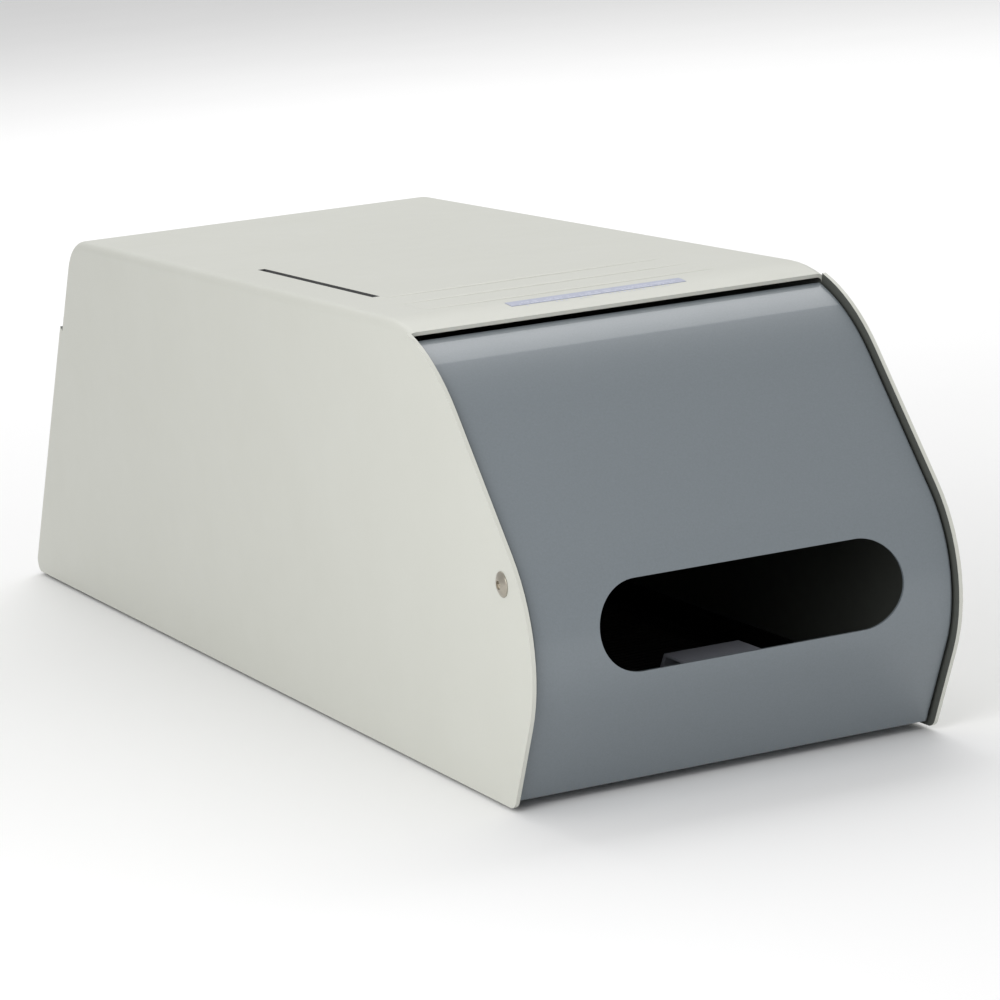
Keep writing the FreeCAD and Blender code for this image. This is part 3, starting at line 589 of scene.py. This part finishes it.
def flap_rail(sizes):
    """Points down the flap's outer face, from its upper edge to its lower one."""
    low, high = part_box("flap_panel")
    nose = Vector((0, low.y + sizes.nose_radius, sizes.nose_height))
    top_z = high.z - sizes.top_radius * math.cos(sizes.top_angle)
    rise = math.sin(sizes.slope) * (top_z - nose.z) + sizes.top_radius - sizes.nose_radius
    top = Vector((0, nose.y + rise / math.cos(sizes.slope), top_z))

    def arc(centre, radius, start, end):
        """Points on an arc whose angles are from straight forward, upwards."""
        count = math.ceil(abs(end - start) / ARC_STEP)
        turns = [start + (end - start) * step / count for step in range(count + 1)]
        return [centre + Vector((0, -math.cos(t), math.sin(t))) * radius for t in turns]

    points = arc(top, sizes.top_radius, math.pi / 2 - sizes.top_angle, sizes.slope)
    points += arc(nose, sizes.nose_radius, sizes.slope, -sizes.lower_slope)
    foot = points[-1].copy()
    drop = foot.z - low.z
    points.append(Vector((0, foot.y + drop * math.tan(sizes.lower_slope), low.z)))
    return points


def flap_section(sizes, half):
    """The folded channel of the flap: across along X, inward along -Y."""
    deep, sheet = sizes.flap_depth, sizes.flap_sheet
    fold, rim = sizes.flap_fold, sizes.small_edge
    corners = [((-half, deep), rim), ((-half, 0), fold), ((half, 0), fold), ((half, deep), rim),
               ((half - sheet, deep), rim), ((half - sheet, sheet), rim),
               ((-half + sheet, sheet), rim), ((-half + sheet, deep), rim)]
    return [Vector((p.x, -p.y, 0)) for p in rounded(corners)]


# Materials of the cover's copy, in the order of its face indices; the inside's dark coat and the slot
# walls' black paint are painted shade.
COVER_SLOTS = ["cover_paint", "inner", "inner_paint"]
OUTSIDE, INSIDE, SLOT_SHADE = range(len(COVER_SLOTS))


def level_ridges(mesh, top, rise):
    """Take the CAD's ridges down to the flat top; gives the extent of their crests."""
    crests = [v.co.copy() for v in mesh.vertices if v.co.z > top - rise / 2]
    for vertex in mesh.vertices:
        vertex.co.z = min(vertex.co.z, top - rise)
    return min(c.x for c in crests), max(c.x for c in crests), min(c.y for c in crests)


def paint_sides(mesh, middle):
    """Outer paint on the faces that look away from the middle, dark paint as painted shade on the rest.
    """
    for face in mesh.polygons:
        inward = face.normal.dot(face.center - middle) < 0
        face.material_index = INSIDE if inward else OUTSIDE


def shade_slot_walls(mesh, sizes):
    """Paint the top slot's cut walls and their rounded rims with the black paint, as painted shade in
    the slot.
    """
    low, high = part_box("slip_tray")
    past_rim = 1.1 * sizes.cover_edge
    half_x = sizes.slot_gap / 2 + past_rim
    half_y = (high.y - low.y) / 2 - sizes.tray_margin + past_rim
    centre = (low + high) / 2
    inside = [abs(v.co.x - centre.x) < half_x and abs(v.co.y - centre.y) < half_y
              and v.co.z > low.z for v in mesh.vertices]
    for face in mesh.polygons:
        # Painted shade: these faces are cream coat in shadow, given the black paint.
        if all(inside[index] for index in face.vertices):
            face.material_index = SLOT_SHADE


class OBJECT_OT_drop_box_cover(bpy.types.Operator):
    """Folded cover with rounded cut edges, painted outside, with painted shade inside and on its slot
    walls
    """
    bl_idname = "object.drop_box_cover"
    bl_label = "Cover"

    def execute(self, context):
        sizes = context.scene.drop_box_sizes
        low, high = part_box("outer_cover")
        piece = dressed("outer_cover", COVER_SLOTS)
        left, right, front = level_ridges(piece.data, high.z, sizes.ridge_rise)
        paint_sides(piece.data, (low + high) / 2)
        bevel(piece, sizes.cover_edge, finished=OUTSIDE)
        shade_slot_walls(piece.data, sizes)
        smooth(piece)
        stand_for(piece, "outer_cover")
        ridges = grow("outer_cover_ridges", chain_mesh("ridges", []),
                      ridges_tree(finish("cover_paint")), {
            "Ridge count": sizes.ridge_count, "Ridge pitch": (0, sizes.ridge_pitch, 0),
            "First ridge": ((left + right) / 2, front + sizes.ridge_breadth / 2,
                            high.z - sizes.ridge_rise),
            "Ridge half size": ((right - left) / 2, sizes.ridge_breadth / 2, sizes.ridge_rise)})
        smooth(ridges, 60)
        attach(ridges, "housing")
        return {"FINISHED"}


class OBJECT_OT_drop_box_flap(bpy.types.Operator):
    """Curved flap swept from its folded section, with its mouth"""
    bl_idname = "object.drop_box_flap"
    bl_label = "Flap"

    def execute(self, context):
        sizes = context.scene.drop_box_sizes
        low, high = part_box("flap_panel")
        pin_low, pin_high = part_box("flap_bush_left")
        bush = (pin_low + pin_high) / 2
        rail = flap_rail(sizes)
        section = show("flap_section", chain_mesh("flap_section", flap_section(sizes, high.x), True))
        middle = sizes.mouth_low + sizes.mouth_height / 2
        foot = rail[-1]
        piece = grow("flap_panel_made", chain_mesh("flap_rail", rail),
                     channel_tree(finish("flap_paint")), {
            "Section": section, "Mouth width": sizes.mouth_width,
            "Mouth height": sizes.mouth_height,
            "Mouth start": (sizes.mouth_centre, low.y - sizes.flap_depth, middle),
            "Mouth end": (sizes.mouth_centre, low.y + 1.5 * sizes.flap_depth, middle),
            "Bore radius": (pin_high.z - pin_low.z) / 2,
            "Bore length": 3 * high.x, "Pivot": (0, bush.y, bush.z),
            "Flange size": (2 * (high.x - sizes.flap_sheet), sizes.flap_depth - sizes.flap_sheet,
                            sizes.flap_sheet),
            "Flange centre": (0, foot.y + sizes.flap_sheet + sizes.flap_depth / 2,
                              foot.z + sizes.flap_sheet / 2)})
        bpy.data.objects.remove(section)
        weigh_edges(piece.data)
        bevel(piece, sizes.flap_rim, 3)
        smooth(piece, 30)
        stand_for(piece, "flap_panel")
        return {"FINISHED"}


class OBJECT_OT_drop_box_fittings(bpy.types.Operator):
    """Sheet parts, stops, feet and pivot hardware with rounded edges"""
    bl_idname = "object.drop_box_fittings"
    bl_label = "Fittings"

    def execute(self, context):
        sizes = context.scene.drop_box_sizes
        bent = ["base_pan", "rear_panel", "slip_tray", "latch_bracket", "catch_magnet"]
        sided = ["pivot_screw", "flap_bush", "pivot_washer", "pivot_nut", "closed_stop",
                 "foot_front", "foot_rear"]
        for node in bent + [f"{name}_{side}" for name in sided for side in ("left", "right")]:
            piece = dressed(node, [SLOT_OF[node]])
            fine = node.startswith("pivot")
            bevel(piece, sizes.small_edge / 2 if fine else sizes.small_edge, 2)
            smooth(piece)
            stand_for(piece, node)
        return {"FINISHED"}


def pan_head(head, rise, shank, reach):
    """A pan-head screw with a cross recess, its seat at the origin and its head up."""
    crown = [(head * math.cos(t), rise * 0.3 + rise * 0.7 * math.sin(t))
             for t in (math.radians(10 * step) for step in range(9))]
    outline = [(0.0, -reach), (shank * 0.8, -reach), (shank, -reach + shank * 0.2), (shank, 0.0),
               (head * 0.94, 0.0), (head, rise * 0.12)] + crown + [(0.0, rise)]
    work = bmesh.new()
    ring = [work.verts.new((x, 0, z)) for x, z in outline]
    edges = [work.edges.new(pair) for pair in zip(ring, ring[1:])]
    bmesh.ops.spin(work, geom=ring + edges, axis=(0, 0, 1), cent=(0, 0, 0),
                   angle=2 * math.pi, steps=36)
    bmesh.ops.remove_doubles(work, verts=work.verts, dist=0.001 * MM)
    bmesh.ops.recalc_face_normals(work, faces=work.faces)
    mesh = bpy.data.meshes.new("pan_head")
    work.to_mesh(mesh)
    work.free()
    screw = show("pan_head", mesh)
    cross = bmesh.new()
    for turn in (0, math.pi / 2):
        spot = Matrix.Translation((0, 0, rise)) @ Matrix.Rotation(turn, 4, "Z")
        size = Matrix.Diagonal((head * 1.1, head * 0.24, rise * 1.2, 1))
        bmesh.ops.create_cube(cross, size=1, matrix=spot @ size)
    blade_mesh = bpy.data.meshes.new("cross")
    cross.to_mesh(blade_mesh)
    cross.free()
    blades = show("cross", blade_mesh)
    recess = screw.modifiers.new("Recess", "BOOLEAN")
    recess.object = blades
    recess.use_self = True
    flatten(screw)
    bpy.data.objects.remove(blades)
    return screw


class OBJECT_OT_drop_box_screws(bpy.types.Operator):
    """Pan-head screws in the rear and through the feet"""
    bl_idname = "object.drop_box_screws"
    bl_label = "Screws"

    def execute(self, context):
        lean = context.scene.drop_box_sizes.rear_lean
        head, shank, rear_reach = 4 * MM, 2 * MM, 7.5 * MM
        low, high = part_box("rear_screws")
        rise = 1.8 * MM
        seat_y = high.y - rise * math.cos(lean) - head * math.sin(lean)
        seat_z = high.z - rise * math.sin(lean) - head * math.cos(lean)
        rear = [(x, seat_y, seat_z) for x in (low.x + head, 0, high.x - head)]
        self.place("rear_screws", rear, pan_head(head, rise, shank, rear_reach), lean - math.pi / 2)
        low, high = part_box("foot_screws")
        rise = 2.2 * MM
        under = [(x, y, high.z - rise) for x in (low.x + head, high.x - head)
                 for y in (low.y + head, high.y - head)]
        reach = high.z - rise - low.z
        self.place("foot_screws", under, pan_head(head, rise, shank, reach), 0.0)
        return {"FINISHED"}

    @staticmethod
    def place(node, seats, screw, turn):
        """Set a row of screws on their seats in a node's place."""
        piece = grow(node + "_made", chain_mesh(node, seats), placed_tree(node, finish("zinc")),
                     {"Piece": screw, "Turn": (turn, 0, 0)})
        bpy.data.objects.remove(screw)
        smooth(piece)
        stand_for(piece, node)


class OBJECT_OT_drop_box_mat(bpy.types.Operator):
    """Rubber landing mat with half-round ribs"""
    bl_idname = "object.drop_box_mat"
    bl_label = "Mat"

    def execute(self, context):
        sizes = context.scene.drop_box_sizes
        low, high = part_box("landing_mat")
        radius = high.z - low.z - sizes.mat_slab
        corner, inset = 12 * MM, 10 * MM
        outline = rounded([((low.x, low.y), corner), ((high.x, low.y), corner),
                           ((high.x, high.y), corner), ((low.x, high.y), corner)])
        work = bmesh.new()
        sole = work.faces.new([work.verts.new((p.x, p.y, low.z)) for p in outline])
        raised = bmesh.ops.extrude_face_region(work, geom=[sole])
        tops = [item for item in raised["geom"] if isinstance(item, bmesh.types.BMVert)]
        bmesh.ops.translate(work, verts=tops, vec=(0, 0, sizes.mat_slab))
        bmesh.ops.recalc_face_normals(work, faces=work.faces)
        slab = bpy.data.meshes.new("mat_slab")
        work.to_mesh(slab)
        work.free()
        slab.materials.append(finish("rubber"))
        count = int((high.y - low.y - 2 * inset) / sizes.mat_pitch)
        piece = grow("landing_mat_made", slab, ribbed_tree(finish("rubber")), {
            "Rib count": count, "First rib": (0, low.y + inset, low.z + sizes.mat_slab),
            "Rib pitch": (0, sizes.mat_pitch, 0), "Rib radius": radius,
            "Rib length": high.x - low.x - 2 * inset})
        smooth(piece)
        stand_for(piece, "landing_mat")
        return {"FINISHED"}


# The label's bars, row by row: degrees from the top of the curve; lift, pitch, shortest and
# longest bar in mm; share of the places that carry a bar; seed.
BAR_ROWS = ((6.6, 0.27, 2.2, 0.8, 3.2, 0.75, 3),
            (8.0, 0.27, 2.2, 0.8, 2.6, 0.7, 5),
            (9.6, 0.02, 2.6, 0.7, 1.6, 0.6, 8))
# Depth and thickness of the thinnest and thickest bar.
BAR_THIN = (0.7 * MM, 0.02 * MM)
BAR_THICK = (1.1 * MM, 0.03 * MM)


class OBJECT_OT_drop_box_label(bpy.types.Operator):
    """Film label on the top's front curve, with plain printed bars"""
    bl_idname = "object.drop_box_label"
    bl_label = "Label"

    def execute(self, context):
        sizes = context.scene.drop_box_sizes
        low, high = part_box("instruction_label")
        piece = dressed("instruction_label", ["label"])
        smooth(piece)
        stand_for(piece, "instruction_label")
        cover = sizes.top_radius + sizes.flap_recess
        margin = 5 * MM
        rail = flap_rail(sizes)[0]
        centre_y = rail.y + sizes.top_radius * math.sin(sizes.top_angle)
        centre_z = rail.z - sizes.top_radius * math.cos(sizes.top_angle)
        for number, (degrees, lift, pitch, shortest, longest, share, seed) in enumerate(BAR_ROWS):
            turn = math.radians(degrees)
            radius = cover + lift * MM
            y = centre_y - radius * math.sin(turn)
            z = centre_z + radius * math.cos(turn)
            count = int((high.x - low.x - 2 * margin) / (pitch * MM))
            spots = [(low.x + margin + step * pitch * MM, y, z) for step in range(count + 1)]
            bars = grow(f"label_bars_{number}", chain_mesh("bars", spots), dashes_tree(finish("ink")), {
                "Turn": (turn, 0, 0), "Shortest": (shortest * MM, *BAR_THIN),
                "Longest": (longest * MM, *BAR_THICK), "Seed": seed, "Share": share})
            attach(bars, "housing")
        return {"FINISHED"}


# The studio, in metres: half the floor's side, and each soft box's name, place, aim, size and radiance.
FLOOR_HALF = 8.0
SKY_STRENGTH = 0.64
SOFT_BOXES = (("rear_ceiling", (1.0, 2.15, 2.6), (1.0, 2.15, 0), (3.2, 3.2), 1.8),
              ("left_window", (-0.85, -0.95, 0.6), (0, -0.2, 0.1), (0.7, 0.7), 3.8))


def soft_box(name, place, aim, size, radiance):
    """A rectangular studio light of an even radiance."""
    light = bpy.data.lights.new(name, "AREA")
    light.shape = "RECTANGLE"
    light.size, light.size_y = size
    light.energy = radiance * math.pi * size[0] * size[1]
    lamp = bpy.data.objects.new(name, light)
    bpy.context.scene.collection.objects.link(lamp)
    lamp.location = place
    lamp.rotation_euler = (Vector(aim) - Vector(place)).to_track_quat("-Z", "Y").to_euler()


class OBJECT_OT_drop_box_stage(bpy.types.Operator):
    """Pale floor, soft studio lights and the camera"""
    bl_idname = "object.drop_box_stage"
    bl_label = "Stage"

    def execute(self, context):
        scene = context.scene
        stage = scene.drop_box_stage
        work = bmesh.new()
        bmesh.ops.create_grid(work, x_segments=8, y_segments=8, size=FLOOR_HALF)
        mesh = bpy.data.meshes.new("floor")
        work.to_mesh(mesh)
        work.free()
        mesh.materials.append(finish("stage"))
        show("floor", mesh)

        world = bpy.data.worlds.new("studio")
        scene.world = world
        world.use_nodes = True
        sky = world.node_tree.nodes["Background"].inputs
        sky["Color"].default_value = (1.0, 1.0, 1.0, 1.0)
        sky["Strength"].default_value = SKY_STRENGTH
        for light in SOFT_BOXES:
            soft_box(*light)

        flat = math.cos(stage.elevation)
        back = Vector((-math.sin(stage.azimuth) * flat, -math.cos(stage.azimuth) * flat,
                       math.sin(stage.elevation)))
        right = Vector((math.cos(stage.azimuth), -math.sin(stage.azimuth), 0))
        up = back.cross(right)
        turn = Matrix((right, up, back)).transposed() @ Matrix.Rotation(stage.roll, 3, "Z")
        camera = bpy.data.cameras.new("camera")
        camera.lens = stage.lens
        camera.sensor_width = 36
        camera.clip_end = 50
        view = bpy.data.objects.new("camera", camera)
        scene.collection.objects.link(view)
        view.matrix_world = Matrix.Translation(Vector(stage.aim) + back * stage.distance) @ turn.to_4x4()
        scene.camera = view
        scene.view_settings.view_transform = "Standard"
        return {"FINISHED"}


OPERATORS = (OBJECT_OT_drop_box_cover, OBJECT_OT_drop_box_flap, OBJECT_OT_drop_box_fittings,
             OBJECT_OT_drop_box_screws, OBJECT_OT_drop_box_mat, OBJECT_OT_drop_box_label,
             OBJECT_OT_drop_box_stage)


class VIEW3D_PT_drop_box(bpy.types.Panel):
    """Sizes, colours and the pieces' buttons"""
    bl_idname = "VIEW3D_PT_drop_box"
    bl_label = "Book drop box"
    bl_space_type = "VIEW_3D"
    bl_region_type = "UI"
    bl_category = "Drop box"

    def draw(self, context):
        scene = context.scene
        for group in (scene.drop_box_sizes, scene.drop_box_finish, scene.drop_box_stage):
            for name in group.bl_rna.properties.keys():
                if name not in ("rna_type", "name"):
                    self.layout.prop(group, name)
        for operator in OPERATORS:
            self.layout.operator(operator.bl_idname)


GROUPS = {"drop_box_sizes": DropBoxSizes, "drop_box_finish": DropBoxFinish,
          "drop_box_stage": DropBoxStage}


def register():
    for name, group in GROUPS.items():
        bpy.utils.register_class(group)
        setattr(bpy.types.Scene, name, bpy.props.PointerProperty(type=group))
    for item in OPERATORS + (VIEW3D_PT_drop_box,):
        bpy.utils.register_class(item)


def unregister():
    for item in reversed(OPERATORS + (VIEW3D_PT_drop_box,)):
        bpy.utils.unregister_class(item)
    for name, group in GROUPS.items():
        delattr(bpy.types.Scene, name)
        bpy.utils.unregister_class(group)


def main():
    register()
    bpy.ops.object.drop_box_cover()
    bpy.ops.object.drop_box_flap()
    bpy.ops.object.drop_box_fittings()
    bpy.ops.object.drop_box_screws()
    bpy.ops.object.drop_box_mat()
    bpy.ops.object.drop_box_label()
    bpy.ops.object.drop_box_stage()


if __name__ == "__main__":
    main()
